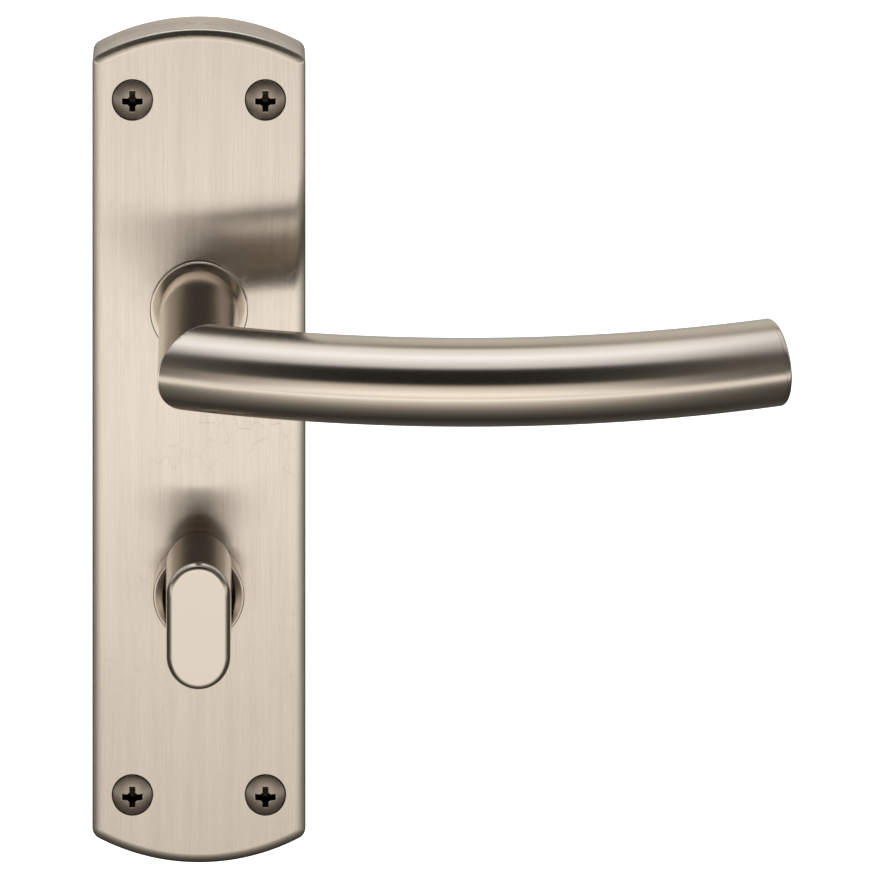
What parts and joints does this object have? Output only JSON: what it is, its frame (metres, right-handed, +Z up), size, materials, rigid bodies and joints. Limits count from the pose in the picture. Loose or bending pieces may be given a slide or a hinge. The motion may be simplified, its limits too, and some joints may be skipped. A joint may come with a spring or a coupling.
{
  "type": "bathroom door lever handle on a backplate",
  "caption": "Long arched-end door plate with a round-bar arched lever above and a pill-shaped thumb turn below, each on a square spindle, with countersunk fixing screws.",
  "frame": {"origin": "middle of the plate's back, on the door's surface, halfway between the lever's axis and the thumb turn's axis", "axes": "+Y into the door, -Y towards the room, +Z up along the plate, +X from the neck along the lever"},
  "size_m": [0.14, 0.102, 0.172],
  "materials": {
    "satin_nickel": "vertical brushed satin",
    "polished_nickel": "soft polished",
    "screw_nickel": "satin, darker than the plate",
    "zinc": "zinc plated",
    "die_cast": "as cast",
    "nylon": "moulded",
    "spring_steel": "oiled",
    "black_steel": "blackened"
  },
  "bodies": {
    "fixed": {"cover_plate": "satin_nickel", "support_frame": "die_cast", "lever_collar": "polished_nickel", "lever_bush": "nylon", "cassette_cup": "zinc", "cassette_lid": "zinc", "cassette_screw_upper": "black_steel", "cassette_screw_lower": "black_steel", "turn_collar": "polished_nickel", "turn_bush": "nylon", "fixing_screw_top_left": "screw_nickel", "fixing_screw_top_right": "screw_nickel", "fixing_screw_bottom_left": "screw_nickel", "fixing_screw_bottom_right": "screw_nickel"},
    "lever": {"lever_neck": "polished_nickel", "lever_grip": "polished_nickel", "grip_end_cap": "polished_nickel", "lever_hub": "zinc", "lever_grub_screw": "black_steel", "lever_spindle": "zinc", "spring_driver": "zinc", "return_spring": "spring_steel", "lever_circlip": "black_steel"},
    "thumb_turn": {"turn_knob": "satin_nickel", "turn_washer": "zinc", "turn_circlip": "black_steel", "turn_spindle": "zinc", "turn_grub_screw": "black_steel"}
  },
  "joints": [
    {"name": "lever_pivot", "type": "hinge", "parent": "fixed", "child": "lever", "pos_m": [0, 0, 0.0285], "axis": [0, 1, 0], "range_deg": [0, 45], "stiffness_Nm_per_rad": 0.9, "springref_deg": -28.65},
    {"name": "turn_pivot", "type": "hinge", "parent": "fixed", "child": "thumb_turn", "pos_m": [0, 0, -0.0285], "axis": [0, 1, 0], "range_deg": [-90, 90]}
  ]
}
